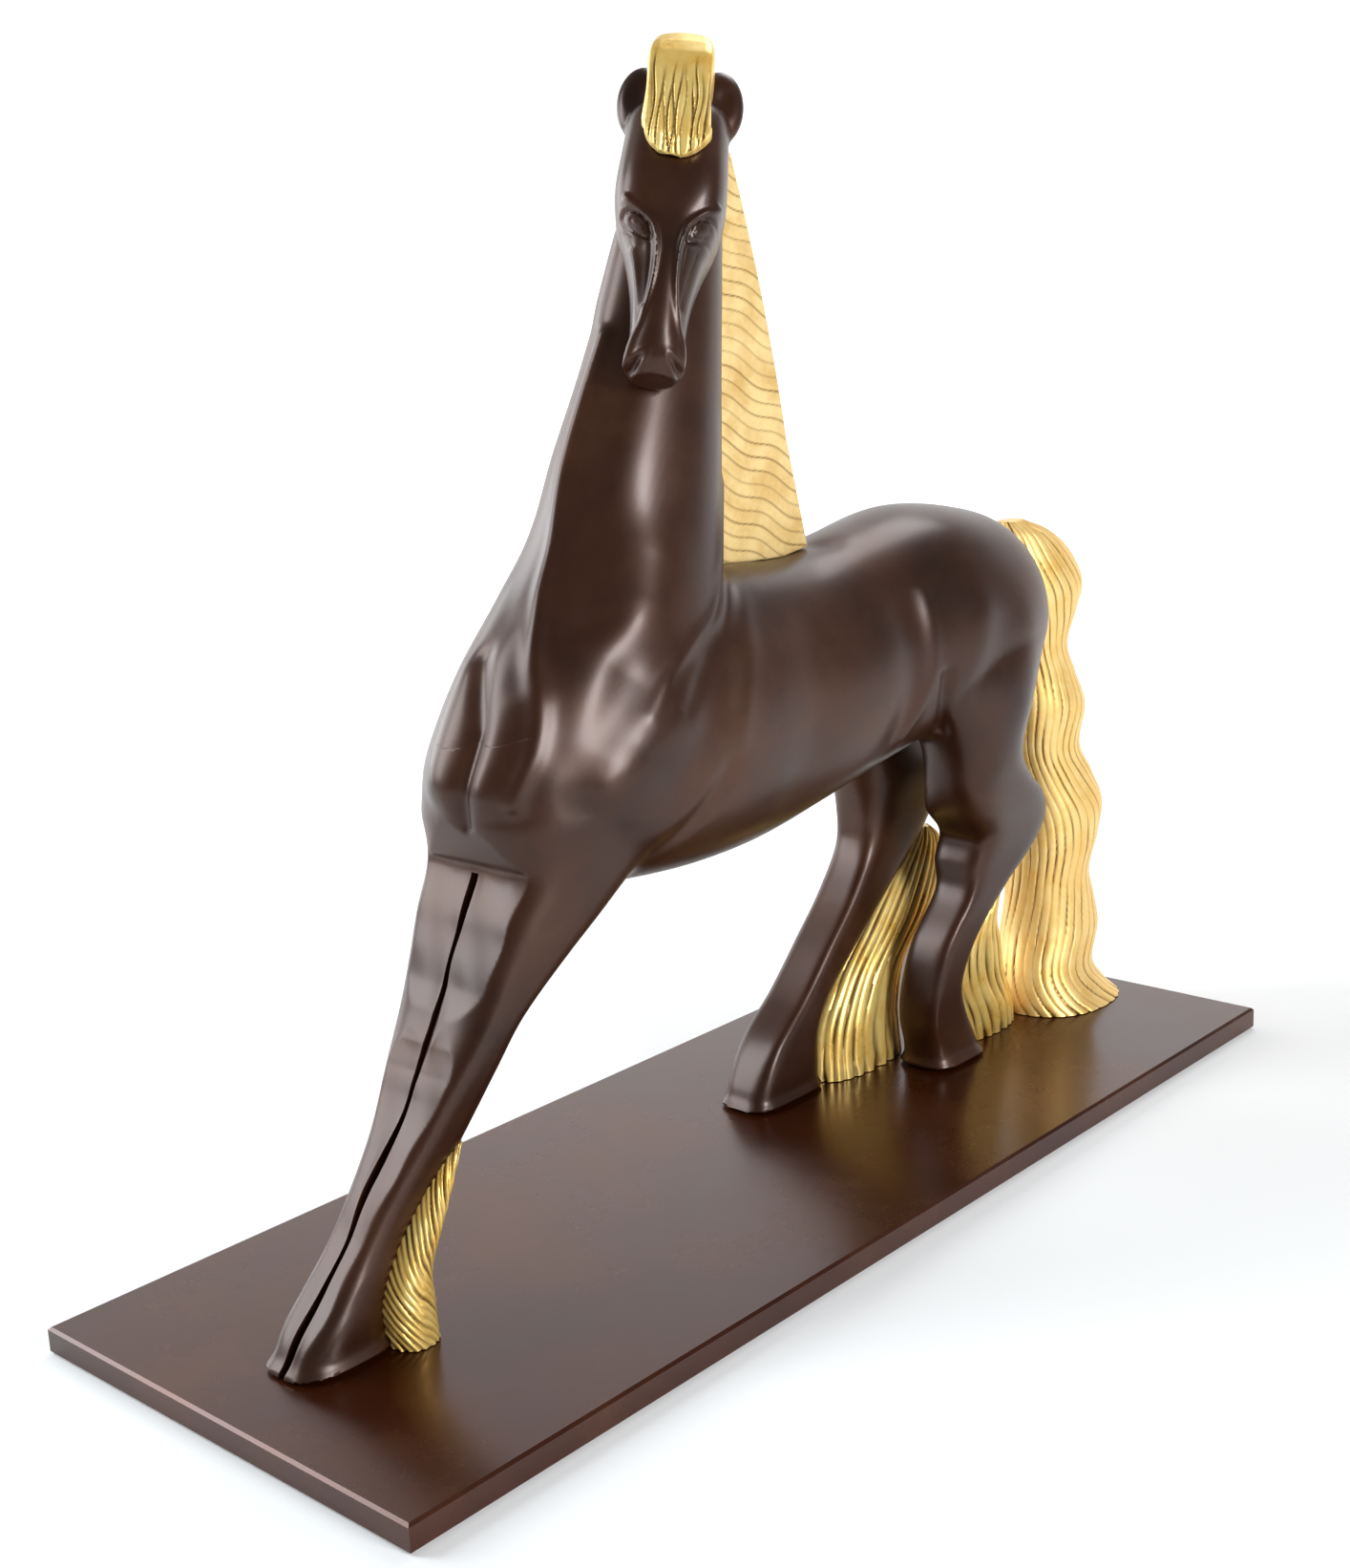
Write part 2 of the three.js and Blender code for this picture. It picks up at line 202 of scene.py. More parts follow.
def distanceTo(places, line):
    # how far each place is from a line of points
    if len(line) > 2:
        line = through(line, np.linspace(0, 1, 8 * len(line)))
    best = np.full(len(places), 1e9)
    for a, b in zip(line[:-1], line[1:]):
        a, b = np.array(a, float), np.array(b, float)
        along = b - a
        t = np.clip((places - a) @ along / max(along @ along, 1e-9), 0, 1)
        best = np.minimum(best, np.linalg.norm(places - a - t[:, None] * along, axis=1))
    return best


def onBothSides(strokes):
    return [(height, width, [(x, side * y, z) for x, y, z in line])
            for height, width, line in strokes for side in (1, -1)]


def carveLines(piece, strokes, toPlaces, grip=None):
    # Pushes the surface out or in along listed lines: (height, half width, line), in mm.
    places = toPlaces(readPoints(piece))
    normals = readNormals(piece)
    lift = np.zeros(len(places))
    for height, width, line in strokes:
        lift += height * np.exp(-(distanceTo(places, line) / width) ** 2)
    if grip is not None:
        lift *= grip
    movePoints(piece, readPoints(piece) + normals * lift[:, None] * mm)


def horsePlaces(points):
    return (points - np.array([0, 0, ground])) / mm


def frontPlaces(points):
    return horsePlaces(points)[:, 1:]


def headPlaces(points):
    return (points - headAxes[0]) @ np.array(headAxes[1:]).T / mm


def copyNode(node, name):
    # a loose copy of a CAD node, welded before it is worked on
    only(frame["nodes"][node])
    bpy.ops.object.duplicate()
    piece = bpy.context.object
    bpy.ops.object.parent_clear(type="CLEAR_KEEP_TRANSFORM")
    piece.name = name
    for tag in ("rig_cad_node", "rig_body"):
        del piece[tag]
    bpy.ops.object.mode_set(mode="EDIT")
    bpy.ops.mesh.select_all(action="SELECT")
    bpy.ops.mesh.remove_doubles(threshold=0.005 * mm)
    bpy.ops.object.mode_set(mode="OBJECT")
    return piece


# ---- the dark casting: trunk, neck and legs are modelled as one skin

horse = {
    "grain": 0.9 * mm,
    "torso": [
        [-154, 0, 152, 9, 11, 2], [-149, 0, 152, 20, 22, 2], [-138, 0, 153, 29.5, 31.5, 2],
        [-120, 0, 154, 35, 36.5, 2.1], [-92, 0, 155.5, 36, 38.6, 2.1], [-60, 0, 150.5, 33, 39.3, 2.1],
        [-30, 0, 145.5, 33, 39.8, 2.1], [0, 0, 144, 34, 43, 2.1], [30, 0, 144, 36, 43.5, 2.1],
        [58, 0, 144, 36, 41, 2.1], [78, 0, 142, 32, 36, 2.1], [92, 0, 139, 22, 26, 2.1],
        [99, 0, 138, 10, 14, 2],
    ],
    "neck": [
        [128, 62, 0, 46, 33, 2], [140, 63, 0, 48.9, 35.2, 2], [155, 59, 0, 46.6, 33.5, 2],
        [170, 53, 0, 42.6, 30.7, 2], [186, 45, 0, 37.1, 26.7, 2], [202, 37.6, 0, 31.9, 23, 2],
        [223, 31.9, 0, 28.6, 20.6, 2], [245, 25, 0, 24.3, 17.5, 2], [265, 19, 0, 20.8, 15, 2],
        [283, 14, 0, 17.8, 13, 2], [298, 9, 0, 14.5, 11, 2], [308, 6, 0, 9, 7, 2],
    ],
    "forelegs": [
        [0, 166, 0, 17, 10.8, 2.6], [4, 165.7, 0, 15.6, 10.8, 2.6], [10, 164.6, 0, 12.4, 10.8, 2.7],
        [18, 159, 0, 10, 9.8, 3], [28, 149.5, 0, 10.5, 9, 3.2], [40, 139.4, 0, 11, 10, 3.4],
        [52, 130.3, 0, 10.7, 12.3, 3.4], [66, 121.4, 0, 10.6, 15.8, 3.4], [79, 112.8, 0, 10.8, 18.8, 3.4],
        [92, 101.8, 0, 16, 21.5, 3.4], [104, 91, 0, 22.4, 24.5, 3.2], [118, 79, 0, 29, 28, 2.8],
        [132, 76, 0, 35, 31, 2.4],
    ],
    "breast": [
        [98, 88, 0, 12, 20, 2.4], [108, 86, 0, 18, 25, 2.4], [120, 86, 0, 20, 27, 2.3],
        [134, 85, 0, 24, 29, 2.3], [150, 80, 0, 26, 28, 2.2], [164, 72, 0, 24, 23, 2],
        [176, 66, 0, 16, 14, 2],
    ],
    "leftHind": [
        [0, -100, 9.5, 15, 11, 2.4], [8, -98, 9.5, 13.8, 10, 2.5], [18, -93.8, 10, 11.6, 9.6, 3],
        [30, -92.5, 11, 9.2, 9.6, 3.2], [45, -99, 12.3, 11, 9.6, 3.2], [60, -113, 13.8, 13.5, 9.8, 3.2],
        [70, -122, 13, 21, 11.8, 3], [80, -125.5, 14.5, 23, 13, 2.8], [90, -118, 16.5, 26, 14.6, 2.5],
        [100, -109, 19.5, 22, 14.5, 2.3], [112, -104, 21, 19, 15.5, 2.1], [134, -106, 20, 30, 17, 2],
        [150, -112, 19, 34, 16, 2],
    ],
    "rightHind": [
        [0, -37.5, -17, 19, 10.5, 2.6], [8, -39, -17, 17.5, 10.5, 2.8], [20, -44, -17.5, 13.4, 10, 3.2],
        [32, -56.7, -18, 10.3, 9.5, 3.2], [46, -72.8, -18.5, 11.5, 9.5, 3.2],
        [60, -89.3, -19, 13.8, 9.5, 3.2], [74, -105, -20, 19, 10, 2.8],
        [86, -111, -20.5, 23, 12, 2.5], [100, -112, -20, 27, 15, 2.2],
        [116, -107, -20.5, 30, 16.5, 2.1], [134, -107, -20, 31, 17, 2], [150, -112, -19, 34, 16, 2],
    ],
    # places where two masses run softly into each other, on both sides: x, y, z, reach
    "soft": [
        (-25, 0, 186, 24), (25, 24, 178, 16), (60, 28, 165, 16), (96, 0, 166, 24), (100, 0, 146, 24),
        (92, 20, 152, 18), (-62, 30, 125, 16), (-80, 32, 122, 16), (-110, 34, 120, 18),
        (-136, 22, 128, 16), (80, 27, 118, 14), (60, 26, 112, 16), (40, 24, 110, 14), (104, 0, 124, 15),
        (102, 18, 124, 14), (88, 24, 116, 12),
    ],
    "softPasses": 110,
    # broad muscles and hollows on the left side, mirrored to the right: height, half width, line
    "muscles": [
        (1.3, 9, [(58, 33, 157), (68, 34, 150), (82, 32, 140)]),
        (1.9, 11, [(50, 23, 197), (56, 26, 186)]),
        (-1.1, 7, [(72, 30, 168), (84, 28, 152), (90, 27, 138)]),
        (-1.1, 8, [(36, 33, 163), (46, 35, 148), (56, 34, 136)]),
        (1.3, 9, [(-88, 36, 160), (-84, 35, 142), (-82, 33, 128)]),
        (-1.5, 9, [(-56, 33, 166), (-57, 33, 148), (-54, 30, 128)]),
        (-0.9, 12, [(-10, 34, 165), (-6, 36, 140), (-2, 32, 118)]),
        (1.2, 10, [(-115, 36, 150), (-112, 36, 128)]),
        (-0.5, 5, [(-48, 8, 188), (-44, 4, 187)]),
    ],
    # crisper ridges and creases, mirrored too
    "creases": [
        (0.8, 2.4, [(10, 13, 212), (13, 16, 202), (19, 20, 190), (31, 26, 179), (44, 30, 173), (57, 32, 166),
                    (66, 32, 156)]),
        (-0.7, 3.0, [(6, 11, 208), (10, 14, 197), (16, 20, 184), (28, 27, 173), (42, 31, 165),
                     (54, 34, 156)]),
        (0.5, 4.5, [(4, 9, 187), (16, 23, 177), (22, 30, 167), (29, 34, 155), (32, 35, 145)]),
        (0.6, 6.5, [(64, 26, 182), (73, 26, 173), (81, 28, 162), (86, 28, 152)]),
        (-1.1, 4.0, [(38, 36, 135), (50, 32, 123), (60, 28, 115)]),
        (1.0, 3.5, [(-65, 31, 172), (-65, 34, 159), (-65, 34, 147), (-62, 31, 136), (-58, 26, 125)]),
        (-1.6, 2.6, [(-72, 34, 143), (-74, 31, 134), (-80, 25, 122)]),
    ],
    # on the throat and breast, seen from the front: height, half width, line across and up
    "front": [
        (1.5, 2.4, [(1, 256), (0, 240), (0, 224), (1, 209), (4, 194), (9, 181), (13, 172), (18, 162),
                    (20, 150), (18, 138)]),
        (-1.2, 5.0, [(9, 256), (8, 240), (8, 224), (10, 209), (14, 194), (19, 183)]),
        (-0.8, 6.0, [(-9, 256), (-10, 240), (-10, 224), (-9, 209), (-7, 194), (-3, 183)]),
        (1.2, 6.0, [(-9, 168), (-7, 156), (-6, 142)]),
        (0.8, 5.0, [(14, 162), (14, 150), (12, 140)]),
        (-1.7, 3.4, [(-4, 173), (1, 165), (5, 156), (5, 145), (3, 132)]),
        (-0.5, 1.4, [(5, 155), (5, 145), (3, 130)]),
    ],
    # they touch only what lies ahead of this x and faces forward
    "frontFrom": 15,
    "frontFacing": (0.1, 0.5),
    # how far the front planes of the forelegs are cut back, by height: least at the knee
    "planed": [(0, 1.0), (29, 1.2), (41, 0.9), (52, 1.5), (61, 1.9), (67, 1.8), (74, 0.3), (80, 0.2),
               (88, 1.6), (99, 2.7), (119, 4.8)],
    "planedFrom": 40,
    "leftProud": 0.1,
    # the planes are filed by hand: height of the waves, and their spacings up and across
    "uneven": {"high": 0.35, "short": (3.3, 5), "long": (7.7, 6)},
    "ledge": {"top": 119, "soft": 0.5, "drop": 1.2, "chestLean": 0.45},
    "lip": {"out": 2.0, "high": 2.4},
    # half width, how far back it is felt, how it swells and how both faces waver: height, every, start
    "slot": {"half": 1.15, "reach": 2.5, "swell": 0.3, "swellEvery": 5.5,
             "waver": [(0.45, 9, 0), (0.3, 4.1, 1)]},
}


def buildSkin():
    parts = [
        loft("torso", horse["torso"], upright, 120, 220),
        loft("neck", horse["neck"], level, 120, 180),
        loft("forelegs", horse["forelegs"], level, 160, 200, squarer=1.3),
        loft("breast", horse["breast"], level, 120, 120),
        loft("leftHind", horse["leftHind"], level, 120, 200, squarer=3.5),
        loft("rightHind", horse["rightHind"], level, 120, 200, squarer=3.5),
    ]
    skin = fuse(joinAll("horseSkin", parts), horse["grain"])
    places = horsePlaces(readPoints(skin))
    weights = np.zeros(len(places))
    for x, y, z, reach in horse["soft"]:
        for side in (1, -1):
            away = np.linalg.norm(places - np.array([x, side * y, z]), axis=1)
            weights = np.maximum(weights, np.exp(-(away / reach) ** 2))
    smoothWhere(skin, weights, horse["softPasses"])
    carveLines(skin, onBothSides(horse["muscles"]), horsePlaces)
    chest = horsePlaces(readPoints(skin))[:, 0] > horse["frontFrom"]
    facing = step(readNormals(skin)[:, 0], *horse["frontFacing"])
    carveLines(skin, horse["front"], frontPlaces, grip=chest * facing)
    carveLines(skin, onBothSides(horse["creases"]), horsePlaces)
    shapeLegs(skin)
    finishWith(skin, "SMOOTH", factor=0.5, iterations=1)
    return skin


def shapeLegs(skin):
    # the front planes of the forelegs start under a small step, and the feet end in a lip
    points = readPoints(skin)
    x, y, z = horsePlaces(points).T
    legs = through(horse["forelegs"], np.linspace(0, 1, 200))
    ledge = horse["ledge"]
    foremost = np.interp(z, legs[:, 0], legs[:, 1] + legs[:, 3])
    cut = np.interp(z, *zip(*horse["planed"]))
    plane = foremost - cut
    top = plane[np.abs(z - ledge["top"]).argmin()]
    chest = top + ledge["drop"] + (z - ledge["top"]) * ledge["chestLean"]
    above = step(z, ledge["top"] - ledge["soft"], ledge["top"] + ledge["soft"])
    limit = plane * (1 - above) + chest * above
    uneven = horse["uneven"]
    shortUp, shortAcross = uneven["short"]
    longUp, longAcross = uneven["long"]
    wave = uneven["high"] * np.sin(z / shortUp + y / shortAcross) * np.sin(z / longUp - y / longAcross)
    limit = limit + wave * (1 - above)
    proud = (x > limit) & (x > horse["planedFrom"])
    x = np.where(proud, limit + horse["leftProud"] * (x - limit), x)
    normals = readNormals(skin)
    lip = horse["lip"]["out"] * np.exp(-(z / horse["lip"]["high"]) ** 2)
    x, y = x + normals[:, 0] * lip, y + normals[:, 1] * lip
    movePoints(skin, np.column_stack([x, y, z]) * mm + np.array([0, 0, ground]))


def cutPiece(name, skin, cuts):
    # copies the skin and keeps the part on the near side of each plane: place, way out
    only(skin)
    bpy.ops.object.duplicate()
    piece = bpy.context.object
    piece.name = name
    bpy.ops.object.mode_set(mode="EDIT")
    for place, out in cuts:
        bpy.ops.mesh.select_all(action="SELECT")
        bpy.ops.mesh.bisect(plane_co=Vector(place) * mm + Vector((0, 0, ground)), plane_no=out,
                            use_fill=True, clear_outer=True)
    bpy.ops.object.mode_set(mode="OBJECT")
    return piece


collar = ((2, 0, 193), Vector((0.364, 0, 0.931)))
shoulder = ((112, 0, 119), Vector((-1, 0, 3)).normalized())
thigh = ((-130, 0, 118), Vector((0.2, 0, 1)).normalized())
girth = ((20, 0, 88), Vector((1, 0, 0)))
middle = ((0, 0, 0), Vector((0, 1, 0)))


def under(plane):
    return plane


def over(plane):
    return (plane[0], -plane[1])


skin = buildSkin()
print("skin modelled", len(skin.data.polygons))
bronzePieces = {
    "torsoCasting": ("torso", [under(collar), over(shoulder), over(thigh)]),
    "neckCasting": ("neck", [over(collar)]),
    "leftForeleg": ("left_foreleg", [under(shoulder), over(girth), over(middle)]),
    "rightForeleg": ("right_foreleg", [under(shoulder), over(girth), under(middle)]),
    "leftHindLeg": ("left_hind_leg", [under(thigh), under(girth), over(middle)]),
    "rightHindLeg": ("right_hind_leg", [under(thigh), under(girth), under(middle)]),
}
bronze = {}
for name, (node, cuts) in bronzePieces.items():
    bronze[name] = cutPiece(name, skin, cuts)
bpy.data.objects.remove(skin)

# the slot between the forelegs: each cut face steps back, and the two waver together
slot = horse["slot"]
for name, side in (("leftForeleg", 1), ("rightForeleg", -1)):
    piece = bronze[name]
    points = readPoints(piece)
    x, y, z = horsePlaces(points).T
    gap = side * slot["half"] * (1 + slot["swell"] * np.sin(z / slot["swellEvery"]))
    for high, every, start in slot["waver"]:
        gap = gap + high * np.sin(z / every + start)
    points[:, 1] += gap * mm * np.exp(-(np.abs(y) / slot["reach"]) ** 2)
    movePoints(piece, points)
print("casting cut into its pieces")


# ---- the head, with its ears

head = {
    "grain": 0.5 * mm,
    "rows": [
        [-11, 1, 0, 9, 10, 2.2], [-5, 2, 0, 13.5, 13.7, 2.7], [8, 2, -0.2, 16.5, 15, 3.2],
        [20, 2, -0.5, 17.8, 15.4, 3.6], [30, 2, -0.7, 17, 13.7, 3.4], [40, 3, -0.8, 15, 10.6, 3],
        [50, 4, -1, 13, 8.5, 2.5], [61, 5, -1.2, 11, 7.7, 2.3], [69, 5, -1.4, 9, 8.3, 2.3],
        [73, 5, -1.4, 5.5, 6, 2],
    ],
    "ear": {"forward": 3, "out": 10.6, "up": -10.5, "half": (4.5, 7.3, 11.5)},
    "earRoot": {"along": 2, "reach": 6, "passes": 30},
    "earDish": {"out": 12.1, "up": -11.5, "flat": 0.75, "deep": 1.6, "wide": 3.4, "facing": (0.2, 0.6)},
    # lines on the face: height, half width, (distance from the middle, along)
    "faceLines": [
        (-1.3, 3.0, [(7.6, 39), (6.4, 45), (6.6, 52), (8, 59)]),
        (-0.9, 3.8, [(9.8, 34.5), (9, 31.5)]),
        (1.0, 0.8, [(12.6, 25.3), (11.2, 27), (8.7, 29), (5, 32.8), (3.3, 37.5), (3, 43), (3.4, 50),
                    (5, 58.4), (7, 65), (8.2, 70)]),
        (-0.5, 1.0, [(6.2, 34), (4.9, 39), (4.7, 46), (5.7, 54)]),
        (0.7, 0.8, [(10.4, 39.5), (8.8, 45), (8, 52), (8, 60)]),
    ],
    # an almond with a cut outline, a lid raised round it and a smaller almond cut inside it
    "eye": {"middle": (9.3, 33), "long": 5.3, "high": 2.2, "slant": 41, "deep": 0.6, "line": 0.34,
            "lid": 0.15, "lidAt": 1.3, "inner": 0.18, "innerAt": 0.5, "innerLine": 0.7},
    "nostril": {"middle": (6.2, 71), "long": 2.6, "high": 1.1, "slant": -40, "deep": 1.5,
                "rim": 0.3, "rimAt": 1.7, "rimWide": 0.5},
    "facing": (-0.1, 0.35),
}


def faceMiddle(along):
    # the muzzle hangs a little to the right of the forehead
    return 0.6 - 1.2 * step(along, 30, 70)


def almond(away, along, shape):
    # 0 at the middle, 1 on the rim of a slanted almond
    angle = math.radians(shape["slant"])
    u, v = away - shape["middle"][0], along - shape["middle"][1]
    long = u * math.cos(angle) - v * math.sin(angle)
    high = u * math.sin(angle) + v * math.cos(angle)
    return np.sqrt((long / shape["long"]) ** 2 + (high / shape["high"]) ** 2)


def buildHead():
    parts = [loft("skull", head["rows"], headAxes, 160, 160)]
    ear = head["ear"]
    start, first, second, along = headAxes
    for side in (1, -1):
        bpy.ops.object.select_all(action="DESELECT")
        bpy.ops.mesh.primitive_uv_sphere_add(segments=64, ring_count=48, radius=1)
        lobe = bpy.context.object
        ball = readPoints(lobe)
        half = ear["half"]
        movePoints(lobe, start + mm * (np.outer(ear["forward"] + ball[:, 0] * half[0], first)
                                       + np.outer(side * ear["out"] + ball[:, 1] * half[1], second)
                                       + np.outer(ear["up"] + ball[:, 2] * half[2], along)))
        only(lobe)
        bpy.ops.object.mode_set(mode="EDIT")
        bpy.ops.mesh.select_all(action="SELECT")
        bpy.ops.mesh.normals_make_consistent(inside=False)
        bpy.ops.object.mode_set(mode="OBJECT")
        parts.append(lobe)
    face = fuse(joinAll("headCasting", parts), head["grain"])
    local = headPlaces(readPoints(face))
    root = head["earRoot"]
    smoothWhere(face, np.exp(-((local[:, 2] - root["along"]) / root["reach"]) ** 2), root["passes"])

    local = headPlaces(readPoints(face))
    normals = readNormals(face)
    facing = step(normals @ headAxes[1], *head["facing"])
    away, along = np.abs(local[:, 1] - faceMiddle(local[:, 2])), local[:, 2]
    flat = np.column_stack([away, along])
    lift = np.zeros(len(flat))
    for height, width, line in head["faceLines"]:
        lift += height * np.exp(-(distanceTo(flat, line) / width) ** 2)
    eye = head["eye"]
    rim = almond(away, along, eye)
    rimWide = eye["line"] / eye["high"]
    lift += eye["lid"] * np.exp(-((rim - eye["lidAt"]) / rimWide) ** 2)
    lift -= eye["deep"] * np.exp(-((rim - 1) / rimWide) ** 2)
    lift -= eye["inner"] * np.exp(-((rim - eye["innerAt"]) / (eye["innerLine"] * rimWide)) ** 2)
    nostril = head["nostril"]
    hole = almond(away, along, nostril)
    lift -= nostril["deep"] * np.exp(-hole ** 2)
    lift += nostril["rim"] * np.exp(-((hole - nostril["rimAt"]) / nostril["rimWide"]) ** 2)
    points = readPoints(face) + normals * (lift * facing)[:, None] * mm
    movePoints(face, points)

    # the inside of each ear is dished
    local = headPlaces(points)
    normals = readNormals(face)
    dish = head["earDish"]
    facing = step(normals @ headAxes[1], *dish["facing"])
    for side in (1, -1):
        away = np.hypot(local[:, 1] - side * dish["out"], (local[:, 2] - dish["up"]) * dish["flat"])
        points -= normals * (dish["deep"] * mm * np.exp(-(away / dish["wide"]) ** 2) * facing)[:, None]
    movePoints(face, points)
    finishWith(face, "SMOOTH", factor=0.35, iterations=1)
    return face


bronze["headCasting"] = buildHead()
print("head modelled")


# ---- gilded hair: every piece is a form with its strands cut into it

strandCut = {"pace": (0.06, 0.16), "fade": 0.38, "fadePace": 1.6, "endLength": 5, "dome": 0.15, "stain": 1.15}


def strands(count, sway, depth, width, seed, endCut=0.0, rough=0.3):
    # strands run along the piece, with a groove between each two that deepens and fades
    draw = np.random.default_rng(seed)
    tone = draw.uniform(-1, 1, count)
    pace = draw.uniform(*strandCut["pace"], count)
    phase = draw.uniform(0, 6.28, count)

    def relief(turn, along, radius, cap):
        lane = turn / (2 * math.pi) * count + sway(along)
        number = np.floor(lane).astype(int) % count
        inLane = lane - np.floor(lane)
        pitch = 2 * math.pi * radius / count
        left = np.where(inLane < 0.5, number, (number + 1) % count)     # the groove this point is nearest to
        away = np.minimum(inLane, 1 - inLane) * pitch
        swing = np.sin(along * pace[left] * strandCut["fadePace"] + phase[left])
        fade = 1 - strandCut["fade"] + strandCut["fade"] * swing
        ends = 1 + endCut * (1 - step(along, 0, strandCut["endLength"]))
        groove = np.exp(-(away / (width * ends)) ** 2) * fade
        dome = 1 - (2 * inLane - 1) ** 2
        rise = strandCut["dome"] * dome
        rise = rise + rough * tone[number] * np.sin(along * pace[number] + phase[number]) * dome
        rise = (rise - depth * ends * groove) * cap
        return rise, np.clip(groove * strandCut["stain"], 0, 1) * cap
    return relief


hair = {
    "tail": [
        [0, -176, 6, 26, 24, 2.3], [5, -173.5, 6, 23.5, 20, 2.3], [14, -172, 6, 20, 16, 2.2],
        [27, -177, 5, 20, 16.5, 2.2], [38, -177, 5, 18.5, 15, 2.2], [49, -176, 5, 17, 14, 2.2],
        [62, -179, 5, 18.5, 15.5, 2.2], [74, -181, 5, 19, 16, 2.2], [86, -178, 4.5, 17, 14, 2.2],
        [97, -174, 4, 15, 12.5, 2.2], [112, -174.5, 3, 17.5, 15, 2.2], [124, -172, 2.5, 16, 13, 2.2],
        [135, -169.5, 2, 15, 12, 2.2], [147, -172, 1, 18.5, 14.5, 2.2], [157, -173.5, 1, 20, 15.5, 2.2],
        [168, -170, 0, 18, 14, 2.2], [176, -165.5, 0, 13, 10, 2], [181, -160, 0, 6, 4, 2],
    ],
    "leftFore": [
        [0, 148, 9.6, 7, 8.8, 2.4], [10, 148, 9.4, 7, 8.3, 2.4], [20, 146, 9, 6, 7.2, 2.3],
        [32, 138, 8.3, 5, 6, 2.3], [42, 131, 8, 3.5, 4.5, 2.2], [48, 126, 8, 2, 3, 2],
    ],
    "leftHind": [
        [0, -130.5, 3, 18.5, 10, 2.3], [10, -127, 4, 19, 10, 2.3], [22, -121, 5, 19, 9.5, 2.3],
        [34, -118.5, 6.5, 18, 9, 2.3], [44, -119, 9, 12, 7.5, 2.2], [54, -124, 12, 6, 5, 2],
    ],
    "rightHind": [
        [0, -78, -16, 24, 14, 2.4], [10, -78, -16, 23, 13.5, 2.4], [20, -80, -16, 21.5, 13, 2.3],
        [34, -88, -16, 19, 12, 2.3], [48, -105, -16, 20, 10.5, 2.3], [60, -117, -16.5, 17, 8.5, 2.2],
        [69, -124.5, -17, 10.5, 6, 2], [74, -127, -17, 3, 3, 2],
    ],
}


def mirrored(rows):
    return [[a, x, -y, halfX, halfY, square] for a, x, y, halfX, halfY, square in rows]


def tailSway(along):
    return 0.9 * np.sin(along / 12) + 0.02 * along


def straight(along):
    return 0.01 * along


def slanting(along):
    # the strands leave the back of the leg and sweep down to the plate
    return 0.38 * along


gold = {
    "tailHair": loft("tailHair", hair["tail"], level, 224, 400,
                     relief=strands(30, tailSway, 0.45, 0.3, 11, endCut=1.2, rough=0.05)),
    "leftForeFeather": loft("leftForeFeather", hair["leftFore"], level, 120, 150,
                            relief=strands(20, slanting, 0.8, 0.42, 12, endCut=0.5, rough=0.15)),
    "rightForeFeather": loft("rightForeFeather", mirrored(hair["leftFore"]), level, 120, 150,
                             relief=strands(20, slanting, 0.8, 0.42, 13, endCut=0.5, rough=0.15)),
    "leftHindFeather": loft("leftHindFeather", hair["leftHind"], level, 160, 160,
                            relief=strands(26, straight, 0.8, 0.45, 14, endCut=0.9)),
    "rightHindFeather": loft("rightHindFeather", hair["rightHind"], level, 160, 200,
                             relief=strands(28, straight, 0.95, 0.5, 15, endCut=0.9)),
}
print("tail and feathers modelled")

mane = {"grain": 0.42 * mm, "spacing": 4.4, "fall": 0.39, "wave": 0.24, "waveLength": 24, "drift": 0.35,
        "deep": 0.3, "line": 0.26, "lines": 80, "weight": (0.55, 1.15), "sides": (0.6, 0.9)}


def buildMane():
    # a flat fin with slanting lines cut into both its sides
    fin = fuse(copyNode("mane", "maneFin"), mane["grain"])
    points = readPoints(fin)
    x, y, z = horsePlaces(points).T
    normals = readNormals(fin)
    number = (z - mane["fall"] * x) / mane["spacing"]
    number = number + mane["wave"] * np.sin(2 * math.pi * x / mane["waveLength"] + mane["drift"] * number)
    away = np.abs(number - np.round(number)) * mane["spacing"]
    draw = np.random.default_rng(21)
    weights = draw.uniform(*mane["weight"], mane["lines"])
    weight = weights[np.round(number).astype(int) % mane["lines"]]
    flat = step(np.abs(normals[:, 1]), *mane["sides"])
    groove = np.exp(-(away / mane["line"]) ** 2) * weight * flat
    movePoints(fin, points - normals * (mane["deep"] * groove * mm)[:, None])
    paint(fin, "carve", np.clip(groove, 0, 1))
    return fin


forelock = {
    "grain": 0.4 * mm, "width": 18.5,
    # the tip leans over and narrows to a tongue
    "lean": 0.12, "leanOver": (-5, 8), "tip": (5, 14.5), "blunt": 0.97, "pinch": 0.62,
    # the top is narrower and rounded, and the long edges waver
    "top": -31.5, "squeeze": 0.2, "squeezeOver": 20, "squeezeBend": 1.5, "round": 1.6, "roundOver": 12,
    "waver": 0.35, "waverEvery": 4.5,
    # the cuts wander and begin at different heights, below the smooth part
    "lanes": 12, "deep": 0.8, "line": 0.34, "scatter": 0.45, "sway": 0.5, "swayEvery": (3, 6),
    "smoothAbove": -18, "beginAbout": (-3, 8), "beginOver": 9, "weight": (0.5, 1.1), "facing": (-0.2, 0.3),
}


